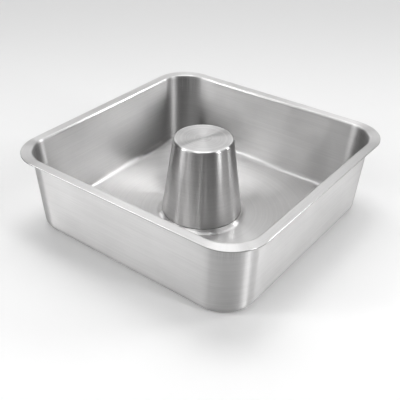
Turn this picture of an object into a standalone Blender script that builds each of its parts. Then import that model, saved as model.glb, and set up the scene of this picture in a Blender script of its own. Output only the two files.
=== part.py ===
# Square tube pan, made of two drawn aluminium sheets: a square pan with a flanged rim, and a
# tapered tube with a closed top that stands in the middle of its floor.
# The floor turns up round its centre hole into a collar. The tube comes up through it from
# below: its flared foot lies under the collar, and a shoulder rolled in its side sits over the
# collar's lip, so the two sheets are crimped together.
import math

import bmesh
import bpy
from mathutils import Matrix, Vector

# Both sheets
SHEET = 0.0012

# Pan shell, measured on the outside of the sheet
RIM_WIDTH = 0.240
RIM_HEIGHT = 0.0717
FLANGE_WIDTH = 0.0078
FLANGE_BEND = 0.0008
RIM_CORNER = 0.0330
WALL_DRAFT = math.radians(3.4)
WALL_CORNER = 0.0290
FOOT_BEND = 0.0070

# Centre tube: its side is a cone, and both radii are taken on the cone's own line
TUBE_HEIGHT = 0.0753
TUBE_TOP_RADIUS = 0.0264
TUBE_FOOT_RADIUS = 0.0367
TUBE_TOP_BEND = 0.0020

# Seam between tube and floor
COLLAR_BEND = 0.0055
COLLAR_LIP_ANGLE = math.radians(28)
SEAM_GAP = 0.0003
SHOULDER_RUN = 0.0006
FOOT_CLEARANCE = 0.0004

# Facets
CORNER_STEPS = 15
FLANGE_BEND_STEPS = 4
FOOT_BEND_STEPS = 6
COLLAR_STEPS = 5
TUBE_TOP_STEPS = 4
TUBE_FILLET_STEPS = 1
TUBE_FLARE_STEPS = 3
AROUND = 4 * (CORNER_STEPS + 1)

# Levels and lines that both pieces share
FLANGE_UNDERSIDE = RIM_HEIGHT - SHEET
WALL_HALF_AT_RIM = RIM_WIDTH / 2 - FLANGE_WIDTH
CONE_SLOPE = (TUBE_FOOT_RADIUS - TUBE_TOP_RADIUS) / (TUBE_HEIGHT - SHEET)
CONE_ANGLE = math.atan(CONE_SLOPE)
COLLAR_CENTRE_Z = SHEET + COLLAR_BEND
COLLAR_CENTRE_R = (TUBE_FOOT_RADIUS - COLLAR_BEND * CONE_SLOPE
                   + COLLAR_BEND / math.cos(CONE_ANGLE))


def arc(centre, radius, start, end, steps):
    """Points of an arc in the upright plane, from angle start to angle end."""
    points = []
    for step in range(steps + 1):
        angle = start + (end - start) * step / steps
        points.append((centre[0] + radius * math.cos(angle),
                       centre[1] + radius * math.sin(angle)))
    return points


def collar_arc(radius, start, end, steps):
    """Points round the centre that the collar's bend and the tube's foot share.

    Angles are measured down from the level line that points at the tube.
    """
    centre = (COLLAR_CENTRE_R, COLLAR_CENTRE_Z)
    return arc(centre, radius, math.pi + start, math.pi + end, steps)


def wall_half(z):
    """Half the distance between two opposite walls' outer faces, at a height."""
    return WALL_HALF_AT_RIM - (FLANGE_UNDERSIDE - z) * math.tan(WALL_DRAFT)


def square_outline(half, corner, z):
    """A square with rounded corners, as points anticlockwise from above."""
    points = []
    for quarter in range(4):
        turn = Matrix.Rotation(quarter * math.pi / 2, 3, "Z")
        for step in range(CORNER_STEPS + 1):
            angle = math.pi / 2 * step / CORNER_STEPS
            x = half - corner + corner * math.cos(angle)
            y = half - corner + corner * math.sin(angle)
            points.append(turn @ Vector((x, y, z)))
    return points


def round_outline(radius, z):
    """A circle with as many points as the square outline, a quarter for each corner."""
    points = []
    for index in range(AROUND):
        angle = math.tau * (index + 0.5) / AROUND
        points.append(Vector((radius * math.cos(angle), radius * math.sin(angle), z)))
    return points


def bend_outlines(points, wall_z):
    """Outlines through a bend's points, concentric with the wall's corner at a height."""
    outlines = []
    for half, z in points:
        corner = WALL_CORNER + half - wall_half(wall_z)
        outlines.append(square_outline(half, corner, z))
    return outlines


def loft(mesh, outlines):
    """Join a row of outlines, point to point, into one open surface that faces out and down."""
    rings = []
    for points in outlines:
        rings.append([mesh.verts.new(point) for point in points])
    for ring, inner in zip(rings, rings[1:]):
        for here in range(AROUND):
            there = (here + 1) % AROUND
            mesh.faces.new((ring[here], inner[here], inner[there], ring[there]))


def aluminium(name, colour, roughness):
    """Bare brushed aluminium."""
    material = bpy.data.materials.new(name)
    material.use_nodes = True
    shader = material.node_tree.nodes["Principled BSDF"]
    shader.inputs["Base Color"].default_value = (*colour, 1.0)
    shader.inputs["Metallic"].default_value = 1.0
    shader.inputs["Roughness"].default_value = roughness
    return material


def thicken(piece):
    """Give a surface the sheet's thickness, away from its normals."""
    solid = piece.modifiers.new("sheet", "SOLIDIFY")
    solid.thickness = SHEET
    solid.offset = -1.0
    solid.use_even_offset = True
    solid.use_quality_normals = True


def make_pan_shell(collection, parent):
    """The square pan: flange, drafted walls, rounded foot, and floor with its drawn-up collar."""
    under_flange = (wall_half(FLANGE_UNDERSIDE - FLANGE_BEND)
                    + FLANGE_BEND / math.cos(WALL_DRAFT), FLANGE_UNDERSIDE - FLANGE_BEND)
    flange_bend = arc(under_flange, FLANGE_BEND, math.pi / 2, math.pi - WALL_DRAFT,
                      FLANGE_BEND_STEPS)
    in_foot = (wall_half(FOOT_BEND) - FOOT_BEND / math.cos(WALL_DRAFT), FOOT_BEND)
    foot_bend = arc(in_foot, FOOT_BEND, -WALL_DRAFT, -math.pi / 2, FOOT_BEND_STEPS)
    collar = collar_arc(COLLAR_BEND + SHEET, math.pi / 2, COLLAR_LIP_ANGLE, COLLAR_STEPS)

    outlines = [square_outline(RIM_WIDTH / 2, RIM_CORNER, FLANGE_UNDERSIDE)]
    outlines += bend_outlines(flange_bend, FLANGE_UNDERSIDE)
    outlines += bend_outlines(foot_bend, FOOT_BEND)
    outlines += [round_outline(radius, z) for radius, z in collar]

    mesh = bmesh.new()
    loft(mesh, outlines)
    for edge in mesh.edges:
        edge.smooth = not edge.is_boundary
    data = bpy.data.meshes.new("pan_shell")
    mesh.to_mesh(data)
    mesh.free()
    data.shade_smooth()
    shell = bpy.data.objects.new("pan_shell", data)
    shell.data.materials.append(aluminium("shell_aluminium", (0.68, 0.68, 0.68), 0.24))
    shell.parent = parent
    collection.objects.link(shell)
    thicken(shell)
    return shell


def tube_profile():
    """The tube's outer side, from the middle of its closed top down to its flared foot."""
    bend_z = TUBE_HEIGHT - TUBE_TOP_BEND
    bend_r = (TUBE_TOP_RADIUS + TUBE_TOP_BEND * CONE_SLOPE
              - TUBE_TOP_BEND / math.cos(CONE_ANGLE))
    top_bend = arc((bend_r, bend_z), TUBE_TOP_BEND, math.pi / 2, CONE_ANGLE, TUBE_TOP_STEPS)

    shoulder_end = COLLAR_LIP_ANGLE - SEAM_GAP / COLLAR_BEND
    shoulder_start = shoulder_end - SHOULDER_RUN / COLLAR_BEND
    fillet = collar_arc(COLLAR_BEND, CONE_ANGLE, shoulder_start, TUBE_FILLET_STEPS)

    flare_radius = COLLAR_BEND + SHEET + SEAM_GAP
    flare_end = math.asin((COLLAR_CENTRE_Z - FOOT_CLEARANCE) / (flare_radius + SHEET))
    flare = collar_arc(flare_radius, shoulder_end, flare_end, TUBE_FLARE_STEPS)
    return [(0.0, TUBE_HEIGHT)] + top_bend + fillet + flare


def make_centre_tube(collection, parent):
    """The tapered tube: a turned sheet with a closed top, a shoulder and a flared foot."""
    points = [Vector((radius, 0.0, z)) for radius, z in tube_profile()]
    edges = [(index, index + 1) for index in range(len(points) - 1)]
    data = bpy.data.meshes.new("centre_tube")
    data.from_pydata(points, edges, [])
    tube = bpy.data.objects.new("centre_tube", data)
    tube.data.materials.append(aluminium("tube_aluminium", (0.68, 0.68, 0.68), 0.22))
    tube.parent = parent
    tube.rotation_euler.z = math.pi / AROUND
    collection.objects.link(tube)

    turned = tube.modifiers.new("turned", "SCREW")
    turned.axis = "Z"
    turned.steps = AROUND
    turned.render_steps = AROUND
    turned.use_smooth_shade = True
    turned.use_merge_vertices = True
    turned.merge_threshold = 0.00001
    thicken(tube)
    return tube


for old in list(bpy.data.objects):
    bpy.data.objects.remove(old, do_unlink=True)

pan = bpy.data.collections.new("square_tube_pan")
bpy.context.scene.collection.children.link(pan)
base_centre = bpy.data.objects.new("base_centre", None)
base_centre.empty_display_size = 0.02
pan.objects.link(base_centre)
make_pan_shell(pan, base_centre)
make_centre_tube(pan, base_centre)
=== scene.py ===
# Square tube pan, made of two drawn aluminium sheets: a square pan with a flanged rim, and a
# tapered tube with a closed top, crimped to the collar in the middle of the pan's floor.
# The frame gives the sizes over all. Each section below finishes one piece.
import math

import bmesh
import bpy
from mathutils import Matrix, Vector


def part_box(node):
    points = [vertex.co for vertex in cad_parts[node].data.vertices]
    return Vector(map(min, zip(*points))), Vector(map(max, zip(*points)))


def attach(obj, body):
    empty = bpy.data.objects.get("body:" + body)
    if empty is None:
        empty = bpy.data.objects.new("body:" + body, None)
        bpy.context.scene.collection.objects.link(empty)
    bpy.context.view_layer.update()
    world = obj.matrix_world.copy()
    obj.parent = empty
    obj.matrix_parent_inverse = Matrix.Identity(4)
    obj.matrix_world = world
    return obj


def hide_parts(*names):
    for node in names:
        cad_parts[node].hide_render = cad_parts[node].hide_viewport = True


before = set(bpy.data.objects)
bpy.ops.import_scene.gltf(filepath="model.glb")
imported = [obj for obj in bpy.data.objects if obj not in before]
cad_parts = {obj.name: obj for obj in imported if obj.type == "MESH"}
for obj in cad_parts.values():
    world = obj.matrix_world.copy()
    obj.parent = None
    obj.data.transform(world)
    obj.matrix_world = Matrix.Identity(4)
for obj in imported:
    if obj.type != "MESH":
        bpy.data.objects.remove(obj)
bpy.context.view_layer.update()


# Pan shell
# One sheet of aluminium drawn into a square pan: a flat flange round the rim, drafted walls, a
# rounded foot, and a floor turned up round its centre hole into a collar. It is brushed along
# the walls and turned round the middle on the floor.
shell_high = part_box("pan_shell")[1]
RIM_HALF = shell_high.x
RIM_TOP = shell_high.z
RIM_CORNER = 0.0330
SHEET = 0.0012
SHEET_EDGE = 0.00035
FLANGE_WIDTH = 0.0078
FLANGE_BEND = 0.0008
WALL_CORNER = 0.0290
WALL_DRAFT = math.radians(3.4)
FOOT_BEND = 0.0070
COLLAR_CENTRE_R = 0.04149
COLLAR_BEND = 0.0055
COLLAR_LIP_ANGLE = math.radians(28)
SHEET_EDGE_STEPS = 3
CORNER_STEPS = 28
FLANGE_BEND_STEPS = 8
FOOT_BEND_STEPS = 12
COLLAR_STEPS = 10
TURNED_STEPS = 144
MERGE_DISTANCE = 0.000002
SHARP_ANGLE = math.radians(50)


def arc(centre, radius, start, end, steps):
    """Points of an arc in the upright plane, from angle start to angle end."""
    points = []
    for step in range(steps + 1):
        angle = start + (end - start) * step / steps
        points.append((centre[0] + radius * math.cos(angle),
                       centre[1] + radius * math.sin(angle)))
    return points


def wall_half(z):
    """Half the distance between two opposite walls' outer faces, at a height."""
    return RIM_HALF - FLANGE_WIDTH - (RIM_TOP - SHEET - z) * math.tan(WALL_DRAFT)


def open_edges(mesh, height):
    """The open edges of a sheet that lie at one height."""
    return [edge for edge in mesh.edges
            if len(edge.link_faces) < 2
            and all(abs(vert.co.z - height) < MERGE_DISTANCE for vert in edge.verts)]


def draw_down(mesh, edges, old, new):
    """Extrude the sheet's open edge to its next outline: half width, corner radius, height."""
    grown = bmesh.ops.extrude_edge_only(mesh, edges=edges)["geom"]
    verts = [part for part in grown if isinstance(part, bmesh.types.BMVert)]
    for side_x in (-1, 1):
        for side_y in (-1, 1):
            quarter = [vert for vert in verts
                       if vert.co.x * side_x > 0 and vert.co.y * side_y > 0]
            old_centre = Vector((side_x * (old[0] - old[1]), side_y * (old[0] - old[1]), old[2]))
            new_centre = Vector((side_x * (new[0] - new[1]), side_y * (new[0] - new[1]), new[2]))
            reshape = (Matrix.Translation(new_centre)
                       @ Matrix.Scale(new[1] / old[1], 4)
                       @ Matrix.Translation(-old_centre))
            bmesh.ops.transform(mesh, matrix=reshape, verts=quarter)
    return [part for part in grown
            if isinstance(part, bmesh.types.BMEdge) and len(part.link_faces) == 1]


def shell_outlines():
    """The outer side's outlines from the rim's edge down to the flat of the floor."""
    under_flange = RIM_TOP - SHEET
    flange_centre = (wall_half(under_flange - FLANGE_BEND) + FLANGE_BEND / math.cos(WALL_DRAFT),
                     under_flange - FLANGE_BEND)
    foot_centre = (wall_half(FOOT_BEND) - FOOT_BEND / math.cos(WALL_DRAFT), FOOT_BEND)
    outlines = [(RIM_HALF, RIM_CORNER, under_flange)]
    for half, z in arc(flange_centre, FLANGE_BEND, math.pi / 2, math.pi - WALL_DRAFT,
                       FLANGE_BEND_STEPS):
        outlines.append((half, WALL_CORNER + half - wall_half(under_flange), z))
    for half, z in arc(foot_centre, FOOT_BEND, -WALL_DRAFT, -math.pi / 2, FOOT_BEND_STEPS):
        outlines.append((half, WALL_CORNER + half - wall_half(FOOT_BEND), z))
    return outlines


def turn_profile(mesh, points):
    """Spin a profile of (radius, height) points once round the upright axis."""
    verts = [mesh.verts.new((radius, 0.0, z)) for radius, z in points]
    edges = [mesh.edges.new(pair) for pair in zip(verts, verts[1:])]
    bmesh.ops.spin(mesh, geom=verts + edges, cent=(0, 0, 0), axis=(0, 0, 1),
                   angle=math.tau, steps=TURNED_STEPS, use_merge=True)


def sheet_piece(name, mesh, inside_out):
    """Close the seams of a sheet's outer side and make it an object of the sheet's thickness."""
    bmesh.ops.remove_doubles(mesh, verts=mesh.verts[:], dist=MERGE_DISTANCE)
    bmesh.ops.recalc_face_normals(mesh, faces=mesh.faces[:])
    if inside_out(mesh):
        bmesh.ops.reverse_faces(mesh, faces=mesh.faces[:])
    data = bpy.data.meshes.new(name)
    mesh.to_mesh(data)
    mesh.free()
    data.shade_smooth()
    piece = bpy.data.objects.new(name, data)
    bpy.context.scene.collection.objects.link(piece)

    thickness = piece.modifiers.new("sheet", "SOLIDIFY")
    thickness.thickness = SHEET
    thickness.offset = -1.0
    thickness.use_even_offset = True
    thickness.use_quality_normals = True
    edge = piece.modifiers.new("sheet_edge", "BEVEL")
    edge.limit_method = "ANGLE"
    edge.angle_limit = SHARP_ANGLE
    edge.width = SHEET_EDGE
    edge.segments = SHEET_EDGE_STEPS
    flats = piece.modifiers.new("true_flats", "WEIGHTED_NORMAL")
    flats.keep_sharp = True
    return piece


def floor_looks_up(mesh):
    """Whether the widest face, which is the floor's, faces up on the outer side."""
    return max(mesh.faces, key=lambda face: face.calc_area() * abs(face.normal.z)).normal.z > 0


mesh = bmesh.new()
outlines = shell_outlines()
bmesh.ops.create_grid(mesh, x_segments=1, y_segments=1, size=outlines[0][0])
bmesh.ops.bevel(mesh, geom=mesh.verts[:], offset=outlines[0][1], offset_type="OFFSET",
                segments=CORNER_STEPS, profile=0.5, affect="VERTICES", material=-1)
bmesh.ops.delete(mesh, geom=mesh.faces[:], context="FACES_ONLY")
bmesh.ops.translate(mesh, vec=(0, 0, outlines[0][2]), verts=mesh.verts[:])
rim = mesh.edges[:]
for old, new in zip(outlines, outlines[1:]):
    rim = draw_down(mesh, rim, old, new)

collar_centre = (COLLAR_CENTRE_R, SHEET + COLLAR_BEND)
turn_profile(mesh, arc(collar_centre, COLLAR_BEND + SHEET, -math.pi / 2,
                       COLLAR_LIP_ANGLE - math.pi, COLLAR_STEPS))
bmesh.ops.remove_doubles(mesh, verts=mesh.verts[:], dist=MERGE_DISTANCE)
bmesh.ops.triangle_fill(mesh, use_beauty=True, use_dissolve=False, edges=open_edges(mesh, 0.0))
drawn_shell = sheet_piece("drawn_shell", mesh, floor_looks_up)


def add_node(tree, kind, values, **settings):
    """Add a shader node, set its options, set or link its inputs, and return its outputs."""
    node = tree.nodes.new(kind)
    for option, choice in settings.items():
        setattr(node, option, choice)
    for socket, value in values.items():
        if isinstance(value, bpy.types.NodeSocket):
            tree.links.new(value, node.inputs[socket])
        else:
            node.inputs[socket].default_value = value
    return node.outputs


def number(tree, operation, *values):
    """The result of a Math node."""
    return add_node(tree, "ShaderNodeMath", dict(enumerate(values)), operation=operation)[0]


def direction(tree, operation, *values):
    """The vector that a Vector Math node gives."""
    return add_node(tree, "ShaderNodeVectorMath", dict(enumerate(values)),
                    operation=operation)["Vector"]


def scaled(tree, vector, amount):
    """A vector times an amount."""
    return add_node(tree, "ShaderNodeVectorMath", {"Vector": vector, "Scale": amount},
                    operation="SCALE")["Vector"]


def length(tree, vector):
    """The length of a vector."""
    return add_node(tree, "ShaderNodeVectorMath", {0: vector}, operation="LENGTH")["Value"]


def axes(tree, vector):
    """A vector's X, Y and Z."""
    return add_node(tree, "ShaderNodeSeparateXYZ", {0: vector})


def upward(tree, amount):
    """A vector that points straight up."""
    return add_node(tree, "ShaderNodeCombineXYZ", {"Z": amount})[0]


def blend(tree, share, first, second):
    """A number that goes from the first value to the second as the share goes from 0 to 1."""
    return add_node(tree, "ShaderNodeMix", {"Factor": share, 2: first, 3: second})[0]


def ramp(tree, value, low, high, to_low=0.0, to_high=1.0):
    """A smooth step that goes from one value to another between two limits."""
    return add_node(tree, "ShaderNodeMapRange",
                    {"Value": value, "From Min": low, "From Max": high,
                     "To Min": to_low, "To Max": to_high},
                    interpolation_type="SMOOTHSTEP")["Result"]


def noise(tree, place, stretch, detail=2.0):
    """Noise on a place that is first stretched by so many waves a metre each way."""
    spread = direction(tree, "MULTIPLY", place, stretch)
    return add_node(tree, "ShaderNodeTexNoise",
                    {"Vector": spread, "Scale": 1.0, "Detail": detail, "Roughness": 0.6})["Fac"]


# Waves a metre: twice along the lines, then across them
FINE_LINES = (26.0, 26.0, 2400.0)
WIDE_BANDS = (14.0, 14.0, 680.0)
SOFT_CLOUDS = (22.0, 22.0, 30.0)
LINE_DETAIL = 3.0
BAND_HEIGHT = 0.8
FINE_TONE = 0.5
TONE_LIMITS = (0.85, 1.65)
LINE_TONE = (0.945, 1.055)
DULLNESS_LIMITS = (0.5, 1.5)
LINE_DULLNESS = (0.96, 1.06)


def lines_and_clouds():
    """The abrasive's lines on bare aluminium, as a node group that both sheets use.

    Place is in metres: its X and Y run along the lines and its Z across them. Fine lines and
    wider bands give Height, and bands with soft clouds give Tone and Dullness.
    """
    group = bpy.data.node_groups.new("lines_and_clouds", "ShaderNodeTree")
    group.interface.new_socket("Place", in_out="INPUT", socket_type="NodeSocketVector")
    for name in ("Height", "Tone", "Dullness"):
        group.interface.new_socket(name, in_out="OUTPUT", socket_type="NodeSocketFloat")
    place = group.nodes.new("NodeGroupInput").outputs["Place"]
    fine = noise(group, place, FINE_LINES, LINE_DETAIL)
    bands = noise(group, place, WIDE_BANDS, LINE_DETAIL)
    clouds = noise(group, place, SOFT_CLOUDS, LINE_DETAIL)
    broad = number(group, "ADD", bands, clouds)

    result = group.nodes.new("NodeGroupOutput").inputs
    group.links.new(number(group, "MULTIPLY_ADD", bands, BAND_HEIGHT, fine), result["Height"])
    group.links.new(ramp(group, number(group, "MULTIPLY_ADD", fine, FINE_TONE, broad),
                         *TONE_LIMITS, *LINE_TONE), result["Tone"])
    group.links.new(ramp(group, broad, *DULLNESS_LIMITS, *LINE_DULLNESS), result["Dullness"])
    return group


LINES = lines_and_clouds()
TURNED_GIRTH = 0.05


def lines(tree, place):
    """The finish group's outputs at a place."""
    return add_node(tree, "ShaderNodeGroup", {"Place": place}, node_tree=LINES)


def turned_place(tree, flat, upright):
    """Place for lines turned round the upright axis, across which radius less height grows."""
    round_way = scaled(tree, direction(tree, "NORMALIZE", flat), TURNED_GIRTH)
    across = number(tree, "SUBTRACT", length(tree, flat), upright)
    return direction(tree, "ADD", round_way, upward(tree, across))


def flat_and_upright(tree):
    """A place on a piece: its level vector from the upright axis, and its height."""
    place = add_node(tree, "ShaderNodeTexCoord", {})["Object"]
    return direction(tree, "MULTIPLY", place, (1.0, 1.0, 0.0)), axes(tree, place)["Z"]


BARE_ALUMINIUM = (0.684, 0.679, 0.677)
LINE_DEPTH = 0.000002
STRETCH_OF_HIGHLIGHTS = 0.94
QUARTER_TURN = 0.25


def aluminium(name, roughness):
    """Bare aluminium whose highlights are drawn out across its lines."""
    material = bpy.data.materials.new(name)
    material.use_nodes = True
    shader = material.node_tree.nodes["Principled BSDF"]
    shader.inputs["Base Color"].default_value = (*BARE_ALUMINIUM, 1.0)
    shader.inputs["Metallic"].default_value = 1.0
    shader.inputs["Roughness"].default_value = roughness
    shader.inputs["Anisotropic"].default_value = STRETCH_OF_HIGHLIGHTS
    shader.inputs["Anisotropic Rotation"].default_value = QUARTER_TURN
    return material, material.node_tree, shader


def finish_metal(tree, shader, tone, dullness, height):
    """Let tone, dullness and height vary the shader's own colour, roughness and normal."""
    plain = tuple(shader.inputs["Base Color"].default_value)[:3]
    tree.links.new(scaled(tree, plain, tone), shader.inputs["Base Color"])
    rough = number(tree, "MULTIPLY", dullness, shader.inputs["Roughness"].default_value)
    tree.links.new(rough, shader.inputs["Roughness"])
    relief = add_node(tree, "ShaderNodeBump", {"Strength": 1.0, "Distance": LINE_DEPTH,
                                               "Height": height})["Normal"]
    tree.links.new(relief, shader.inputs["Normal"])


SHELL_ROUGHNESS = 0.34
CORE_HALF = RIM_HALF - FLANGE_WIDTH - WALL_CORNER
TURNED_BELOW = (0.0060, 0.0025)
TURNED_WITHIN = (0.0600, 0.0550)
CORNER_FROM = (0.0600, 0.0920)
FLANGE_FROM = (RIM_TOP - 0.0040, RIM_TOP - 0.0015)

# Depths in the sheet between which the look of its inner face gives way to its outer face's
INNER_DEPTH = 0.0008
OUTER_DEPTH = 0.0004

# Draw marks: waves a metre, where they begin, and their share on the flange and outside
DRAW_MARKS = (900.0, 900.0, 16.0)
DRAW_MARKS_ROUND = (0.15, 0.45)
DRAW_MARKS_FROM = (RIM_TOP - 0.0250, RIM_TOP - 0.0030)
MARK_RELIEF = 2.0
MARK_TONE = 0.9
FLANGE_MARKS = 0.20
OUTER_MARKS = 0.6

# Painted shades and painted highlights are shares of the plain tone, and dulling is a share
# of the plain roughness. The corners have one for the inside of the walls and one for the
# outside
CORNER_ABOVE = (0.0020, 0.0120)
# Painted shade on the walls towards and round the corners, first inside, then outside
CORNER_PAINTED_SHADE = (0.20, 0.08)
CORNER_DULLNESS = (0.6, 0.35)
DULL_BELOW = (RIM_TOP - 0.0012, RIM_TOP - 0.0002)
FOOT_CORE = wall_half(FOOT_BEND) - WALL_CORNER
FOOT_CENTRE = wall_half(FOOT_BEND) - FOOT_BEND / math.cos(WALL_DRAFT) - FOOT_CORE
FOOT_BELOW = (0.0095, 0.0020)
FOOT_OUTSIDE = (0.0002, 0.0018)
# Painted shade on the underside of the foot's bend, where the pan meets the floor
FOOT_PAINTED_SHADE = 0.25
RIM_EDGE_OUTSIDE = (RIM_CORNER - 0.0004, RIM_CORNER - 0.0001)
RIM_EDGE_BELOW = (RIM_TOP - 0.0002, RIM_TOP - 0.0006)
# Painted shade along the flange's cut edge
RIM_EDGE_PAINTED_SHADE = 0.35
# Painted shade on the flange's bend, which tones down its highlight
BEND_FROM = (RIM_TOP - 0.0035, RIM_TOP - 0.0015)
BEND_TO = (RIM_TOP - 0.0005, RIM_TOP - 0.0001)
BEND_PAINTED_SHADE = 0.10
# Painted highlight on the top of the flange
FLANGE_TOP = (RIM_TOP - 0.0003, RIM_TOP - 0.0001)
FLANGE_PAINTED_HIGHLIGHT = 0.03
# Painted highlight on the collar round the tube's foot
COLLAR_WITHIN = (COLLAR_CENTRE_R - 0.0004, COLLAR_CENTRE_R - 0.0026)
COLLAR_PAINTED_HIGHLIGHT = 0.40


def outward_of(tree, flat, half):
    """The level vector to a place from a square core, which a rounded square is turned about."""
    far = add_node(tree, "ShaderNodeCombineXYZ", {"X": half, "Y": half})[0]
    core = direction(tree, "MAXIMUM", direction(tree, "MINIMUM", flat, far),
                     scaled(tree, far, -1.0))
    return direction(tree, "SUBTRACT", flat, core)


def outer_side(tree, reach, outside):
    """1 on the outer face of a sheet, which lies at a reach, and 0 on its inner face."""
    return ramp(tree, reach, outside - INNER_DEPTH, outside - OUTER_DEPTH)


def outer_wall(tree, flat, upright):
    """1 on the walls' outer face and 0 on their inner face."""
    draft = math.tan(WALL_DRAFT)
    core = number(tree, "MULTIPLY_ADD", upright, draft, CORE_HALF - (RIM_TOP - SHEET) * draft)
    return outer_side(tree, length(tree, outward_of(tree, flat, core)), WALL_CORNER)


def under_foot(tree, flat, upright):
    """Where the foot's bend turns under the pan on its outer side, 1 at the lowest, for painted
    shade.
    """
    turn = number(tree, "MAXIMUM", 0.0,
                  number(tree, "SUBTRACT", length(tree, outward_of(tree, flat, FOOT_CORE)),
                         FOOT_CENTRE))
    rise = number(tree, "SUBTRACT", upright, FOOT_BEND)
    bend = length(tree, add_node(tree, "ShaderNodeCombineXYZ", {"X": turn, "Z": rise})[0])
    low = number(tree, "MULTIPLY", ramp(tree, upright, *FOOT_BELOW),
                 ramp(tree, turn, *FOOT_OUTSIDE))
    return number(tree, "MULTIPLY", outer_side(tree, bend, FOOT_BEND), low)


def rim_edge(tree, flat, upright):
    """The sheet's cut edge round the flange, for painted shade."""
    out = ramp(tree, length(tree, outward_of(tree, flat, RIM_HALF - RIM_CORNER)),
               *RIM_EDGE_OUTSIDE)
    return number(tree, "MULTIPLY", out, ramp(tree, upright, *RIM_EDGE_BELOW))


def draw_marks(tree, outward, upright, down_the_sheet, outer):
    """The upright marks that drawing leaves in the corners, and how strong they are."""
    round_way = direction(tree, "NORMALIZE", outward)
    sides = axes(tree, round_way)
    cornering = number(tree, "ABSOLUTE", number(tree, "MULTIPLY", sides["X"], sides["Y"]))
    strength = number(tree, "MULTIPLY", ramp(tree, cornering, *DRAW_MARKS_ROUND),
                      ramp(tree, upright, *DRAW_MARKS_FROM))
    strength = number(tree, "MULTIPLY", strength,
                      ramp(tree, upright, *FLANGE_FROM, 1.0, FLANGE_MARKS))
    strength = number(tree, "MULTIPLY", strength,
                      number(tree, "MULTIPLY_ADD", outer, OUTER_MARKS - 1.0, 1.0))
    mark_place = direction(tree, "ADD", scaled(tree, round_way, WALL_CORNER),
                           upward(tree, down_the_sheet))
    return noise(tree, mark_place, DRAW_MARKS), strength


def shell_painted_shade(tree, flat, upright, cornered, outer):
    """How much painted shade darkens the corners' walls, the foot, the cut edge and the flange's
    bend.
    """
    on_walls_only = number(tree, "MULTIPLY", ramp(tree, upright, *CORNER_ABOVE),
                           ramp(tree, upright, *FLANGE_FROM, 1.0, 0.0))
    shade = number(tree, "MULTIPLY", number(tree, "MULTIPLY", cornered, on_walls_only),
                   blend(tree, outer, *CORNER_PAINTED_SHADE))
    shade = number(tree, "MULTIPLY_ADD", under_foot(tree, flat, upright), FOOT_PAINTED_SHADE, shade)
    shade = number(tree, "MULTIPLY_ADD", rim_edge(tree, flat, upright), RIM_EDGE_PAINTED_SHADE, shade)
    in_bend = number(tree, "MULTIPLY", ramp(tree, upright, *BEND_FROM),
                     ramp(tree, upright, *BEND_TO, 1.0, 0.0))
    return number(tree, "MULTIPLY_ADD", in_bend, BEND_PAINTED_SHADE, shade)


def shell_painted_highlights(tree, flat, upright):
    """How much painted highlight brightens the collar and the top of the flange."""
    return number(tree, "ADD",
                  ramp(tree, length(tree, flat), *COLLAR_WITHIN, 0.0, COLLAR_PAINTED_HIGHLIGHT),
                  ramp(tree, upright, *FLANGE_TOP, 0.0, FLANGE_PAINTED_HIGHLIGHT))


def shell_finish():
    """Lines along the flange and walls, turned lines on the floor, draw marks in the corners,
    with painted shade and painted highlights.
    """
    material, tree, shader = aluminium("brushed_shell", SHELL_ROUGHNESS)
    flat, upright = flat_and_upright(tree)
    outward = outward_of(tree, flat, CORE_HALF)
    floor_share = number(tree, "MAXIMUM", ramp(tree, upright, *TURNED_BELOW),
                         ramp(tree, length(tree, flat), *TURNED_WITHIN))
    across = add_node(tree, "ShaderNodeMix", {"Factor": floor_share, 4: outward, 5: flat},
                      data_type="VECTOR")[1]
    tree.links.new(direction(tree, "CROSS_PRODUCT", (0.0, 0.0, 1.0), across),
                   shader.inputs["Tangent"])

    down_the_sheet = number(tree, "ADD", upright, length(tree, outward))
    on_walls = lines(tree, direction(tree, "ADD", flat, upward(tree, down_the_sheet)))
    on_floor = lines(tree, turned_place(tree, flat, upright))
    shared = {name: blend(tree, floor_share, on_walls[name], on_floor[name])
              for name in ("Height", "Tone", "Dullness")}

    outer = outer_wall(tree, flat, upright)
    marks, strength = draw_marks(tree, outward, upright, down_the_sheet, outer)
    mark_relief = number(tree, "MULTIPLY", number(tree, "MULTIPLY", marks, strength),
                         MARK_RELIEF)
    mark_tone = number(tree, "MULTIPLY", number(tree, "SUBTRACT", marks, 0.5),
                       number(tree, "MULTIPLY", strength, MARK_TONE))

    spread = axes(tree, direction(tree, "ABSOLUTE", flat))
    cornered = ramp(tree, number(tree, "MINIMUM", spread["X"], spread["Y"]), *CORNER_FROM)
    duller = number(tree, "MULTIPLY", cornered, ramp(tree, upright, *DULL_BELOW, 1.0, 0.0))
    dullness = number(tree, "MULTIPLY", shared["Dullness"],
                      number(tree, "MULTIPLY_ADD", duller,
                             blend(tree, outer, *CORNER_DULLNESS), 1.0))

    tone = number(tree, "SUBTRACT", number(tree, "ADD", shared["Tone"], mark_tone),
                  shell_painted_shade(tree, flat, upright, cornered, outer))
    tone = number(tree, "ADD", tone, shell_painted_highlights(tree, flat, upright))
    finish_metal(tree, shader, tone, dullness,
                 number(tree, "ADD", shared["Height"], mark_relief))
    return material


drawn_shell.data.materials.append(shell_finish())
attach(drawn_shell, "root")
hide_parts("pan_shell")


# Centre tube
# A second sheet, spun into a tapered tube with a closed flat top. It comes up through the
# collar from below: its flared foot lies under the collar, and a shoulder in its side sits
# over the collar's lip.
tube_low, tube_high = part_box("centre_tube")
TUBE_TOP = tube_high.z
TUBE_TOP_RADIUS = 0.0264
TUBE_FOOT_RADIUS = 0.0367
TUBE_TOP_BEND = 0.0020
SEAM_GAP = 0.0003
SHOULDER_RUN = 0.0006
TUBE_TOP_STEPS = 8
TUBE_FILLET_STEPS = 1
TUBE_FLARE_STEPS = 6


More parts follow.
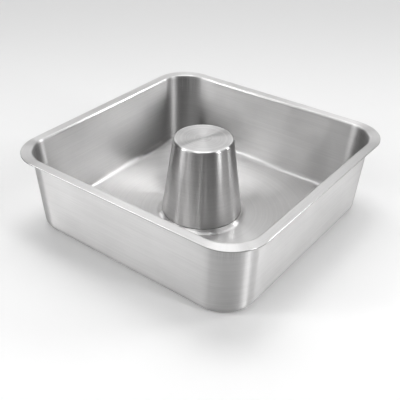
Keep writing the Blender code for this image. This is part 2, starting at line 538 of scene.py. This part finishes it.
def tube_profile():
    """The tube's outer side, from the middle of its closed top down to its flared foot."""
    taper = (TUBE_FOOT_RADIUS - TUBE_TOP_RADIUS) / (TUBE_TOP - SHEET)
    lean = math.atan(taper)
    bend_centre = (TUBE_TOP_RADIUS + TUBE_TOP_BEND * taper - TUBE_TOP_BEND / math.cos(lean),
                   TUBE_TOP - TUBE_TOP_BEND)
    top_bend = arc(bend_centre, TUBE_TOP_BEND, math.pi / 2, lean, TUBE_TOP_STEPS)

    shoulder_end = COLLAR_LIP_ANGLE - SEAM_GAP / COLLAR_BEND
    shoulder_start = shoulder_end - SHOULDER_RUN / COLLAR_BEND
    fillet = arc(collar_centre, COLLAR_BEND, math.pi + lean, math.pi + shoulder_start,
                 TUBE_FILLET_STEPS)
    flare_radius = COLLAR_BEND + SHEET + SEAM_GAP
    flare_end = math.asin((collar_centre[1] - tube_low.z) / (flare_radius + SHEET))
    flare = arc(collar_centre, flare_radius, math.pi + shoulder_end, math.pi + flare_end,
                TUBE_FLARE_STEPS)
    return [(0.0, TUBE_TOP)] + top_bend + fillet + flare


def top_looks_down(mesh):
    """Whether the tube's closed top faces down."""
    return max(mesh.faces, key=lambda face: face.calc_center_median().z).normal.z < 0


mesh = bmesh.new()
turn_profile(mesh, tube_profile())
spun_tube = sheet_piece("spun_tube", mesh, top_looks_down)

TUBE_ROUGHNESS = 0.31
TOP_FROM = (TUBE_TOP - 0.0012, TUBE_TOP - 0.0003)
# Painted shade that darkens the tube's top
TOP_PAINTED_SHADE = -0.06
TOP_RINGS = (1.0, 1.0, 430.0)
TOP_RING_TONE = 0.55
TOP_EDGE = (TUBE_TOP_RADIUS - 0.0030, TUBE_TOP_RADIUS - 0.0020)
# Painted highlight round the edge of the tube's top
TOP_EDGE_PAINTED_HIGHLIGHT = 0.14


def tube_finish():
    """Lines turned round the tube, on its side and on its flat top, with painted shade on the
    top and a painted highlight round its edge.
    """
    material, tree, shader = aluminium("turned_tube", TUBE_ROUGHNESS)
    turned = add_node(tree, "ShaderNodeTangent", {}, direction_type="RADIAL", axis="Z")
    tree.links.new(turned["Tangent"], shader.inputs["Tangent"])
    flat, upright = flat_and_upright(tree)
    turning = lines(tree, turned_place(tree, flat, upright))

    radius = length(tree, flat)
    rings = noise(tree, upward(tree, radius), TOP_RINGS)
    rings_and_painted_light = number(tree, "MULTIPLY_ADD", number(tree, "SUBTRACT", rings, 0.5),
                       TOP_RING_TONE, TOP_PAINTED_SHADE)
    rings_and_painted_light = number(tree, "MULTIPLY_ADD", ramp(tree, radius, *TOP_EDGE), TOP_EDGE_PAINTED_HIGHLIGHT,
                       rings_and_painted_light)
    tone = number(tree, "MULTIPLY_ADD", rings_and_painted_light, ramp(tree, upright, *TOP_FROM),
                  turning["Tone"])
    finish_metal(tree, shader, tone, turning["Dullness"], turning["Height"])
    return material


spun_tube.data.materials.append(tube_finish())
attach(spun_tube, "root")
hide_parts("centre_tube")


# Studio
# A pale paper floor that darkens towards the back of the photograph's view, the camera at the
# photograph's viewing angle, and soft light.
FLOOR_REACH = 6.0
PAPER_ROUGHNESS = 0.8
PAPER_GLOW = 0.08
# Painted shade: the paper's colour darkens towards the back
PAPER_PAINTED_SHADE_TOWARDS = (-0.627, 0.779, 0.0)
PAPER_PAINTED_SHADE_BETWEEN = (-0.16, 0.68)
PAPER_TONE = (0.96, 0.62)


def pale_paper():
    """Pale paper, darkened towards the back by painted shade, with a little glow of its own
    where the camera or the metal sees it.
    """
    material = bpy.data.materials.new("pale_paper")
    material.use_nodes = True
    tree = material.node_tree
    shader = tree.nodes["Principled BSDF"]
    shader.inputs["Roughness"].default_value = PAPER_ROUGHNESS
    place = add_node(tree, "ShaderNodeTexCoord", {})["Object"]
    away = add_node(tree, "ShaderNodeVectorMath", {0: place, 1: PAPER_PAINTED_SHADE_TOWARDS},
                    operation="DOT_PRODUCT")["Value"]
    tone = ramp(tree, away, *PAPER_PAINTED_SHADE_BETWEEN, *PAPER_TONE)
    tree.links.new(scaled(tree, (1.0, 1.0, 1.0), tone), shader.inputs["Base Color"])
    ray = add_node(tree, "ShaderNodeLightPath", {})
    seen = number(tree, "MAXIMUM", ray["Is Camera Ray"],
                  number(tree, "MAXIMUM", ray["Is Glossy Ray"], ray["Is Transmission Ray"]))
    tree.links.new(number(tree, "MULTIPLY", seen, PAPER_GLOW),
                   shader.inputs["Emission Strength"])
    shader.inputs["Emission Color"].default_value = (1, 1, 1, 1)
    return material


mesh = bmesh.new()
bmesh.ops.create_grid(mesh, x_segments=1, y_segments=1, size=FLOOR_REACH)
floor_data = bpy.data.meshes.new("studio_floor")
mesh.to_mesh(floor_data)
mesh.free()
floor_data.materials.append(pale_paper())
studio_floor = bpy.data.objects.new("studio_floor", floor_data)
bpy.context.scene.collection.objects.link(studio_floor)

CAMERA_AZIMUTH = 38.83
CAMERA_ELEVATION = 32.50
CAMERA_DISTANCE = 0.6223
CAMERA_ASIDE = -0.0294
CAMERA_UP = 0.01793
CAMERA_LENS = 60.83
CAMERA_SHIFT = (0.0763, -0.0230)


def from_pan(azimuth, elevation):
    """The way from the pan's middle to a camera or lamp, by its angles in degrees."""
    round_way, up_way = math.radians(azimuth), math.radians(elevation)
    return Vector((math.sin(round_way) * math.cos(up_way),
                   -math.cos(round_way) * math.cos(up_way), math.sin(up_way)))


camera_data = bpy.data.cameras.new("photo_view")
camera = bpy.data.objects.new("photo_view", camera_data)
bpy.context.scene.collection.objects.link(camera)
bpy.context.scene.camera = camera
back = from_pan(CAMERA_AZIMUTH, CAMERA_ELEVATION)
right = Vector((math.cos(math.radians(CAMERA_AZIMUTH)),
                math.sin(math.radians(CAMERA_AZIMUTH)), 0.0))
camera.location = (back * CAMERA_DISTANCE + right * CAMERA_ASIDE
                   + back.cross(right) * CAMERA_UP)
camera.rotation_mode = "QUATERNION"
camera.rotation_quaternion = back.to_track_quat("Z", "Y")
camera_data.lens = CAMERA_LENS
camera_data.shift_x, camera_data.shift_y = CAMERA_SHIFT

AIR_STRENGTH = 0.06
world = bpy.data.worlds.new("studio_air")
bpy.context.scene.world = world
world.use_nodes = True
air = world.node_tree.nodes["Background"]
air.inputs["Color"].default_value = (1, 1, 1, 1)
air.inputs["Strength"].default_value = AIR_STRENGTH

LAMPS_AIM_AT = Vector((0, 0, 0.05))
LOW_LAMPS = 3.5
HIGH_LAMPS = 3.0
OVERHEAD_LAMP = 2.0
PANEL = (1.0, 0.85)
HIGH_PANEL = (1.3, 1.1)
LEFT_WALL = (0, 1, 0)
RIGHT_WALL = (1, 0, 0)


def softbox(name, size, azimuth, elevation, distance, brightness, along=None):
    """A soft area lamp of a size and surface brightness, turned to the pan.

    Along gives a wall's own direction; the lamp then leans to stay square to that wall's lines.
    """
    place = from_pan(azimuth, elevation) * distance
    away_from_pan = (place - LAMPS_AIM_AT).normalized()
    lamp = bpy.data.lights.new(name, "AREA")
    lamp.shape = "RECTANGLE"
    lamp.size, lamp.size_y = size
    lamp.energy = brightness * math.pi * size[0] * size[1]
    box = bpy.data.objects.new(name, lamp)
    bpy.context.scene.collection.objects.link(box)
    box.location = place
    box.rotation_mode = "QUATERNION"
    box.rotation_quaternion = away_from_pan.to_track_quat("Z", "Y")
    if along:
        lengthways = Vector(along).cross(away_from_pan).normalized()
        sideways = lengthways.cross(away_from_pan)
        box.rotation_quaternion = Matrix((sideways, lengthways,
                                          away_from_pan)).transposed().to_quaternion()


# Tall strips at both sides streak the walls and the tube.
softbox("left_wall_strip", (0.30, 2.0), 139, 25, LOW_LAMPS, 15.6, LEFT_WALL)
softbox("right_wall_strip", (0.40, 2.0), 326, 25, LOW_LAMPS, 4.0, RIGHT_WALL)
softbox("right_wall_end_strip", (0.40, 2.0), 343, 25, LOW_LAMPS, 3.2, RIGHT_WALL)
softbox("right_streak", (0.40, 2.4), 95, 25, LOW_LAMPS, 12.2)
softbox("front_right_strip", (0.35, 2.4), 114, 25, LOW_LAMPS, 1.8)
softbox("left_streak", (0.42, 2.4), 317, 25, LOW_LAMPS, 8.4)
# Panels, most of them behind the pan, light its flange, the tube's top and the floor's rings.
softbox("back_right_panel", PANEL, 200, 30, LOW_LAMPS, 1.5)
softbox("back_panel", PANEL, 219, 30, LOW_LAMPS, 0.8)
softbox("back_left_panel", PANEL, 238, 30, LOW_LAMPS, 1.35)
softbox("back_low_panel", PANEL, 219, 16, LOW_LAMPS, 0.6)
softbox("back_right_high_panel", PANEL, 192, 44, LOW_LAMPS, 0.6)
softbox("high_right_panel", HIGH_PANEL, 180, 58, HIGH_LAMPS, 1.95)
softbox("high_back_panel", HIGH_PANEL, 219, 58, HIGH_LAMPS, 1.15)
softbox("back_left_high_panel", PANEL, 238, 44, LOW_LAMPS, 0.6)
softbox("high_left_panel", HIGH_PANEL, 254, 58, HIGH_LAMPS, 2.0)
softbox("high_front_panel", HIGH_PANEL, 0, 58, HIGH_LAMPS, 2.1)
softbox("overhead", (0.8, 0.8), 219, 78, OVERHEAD_LAMP, 4.5)

bpy.context.scene.view_settings.view_transform = "Standard"
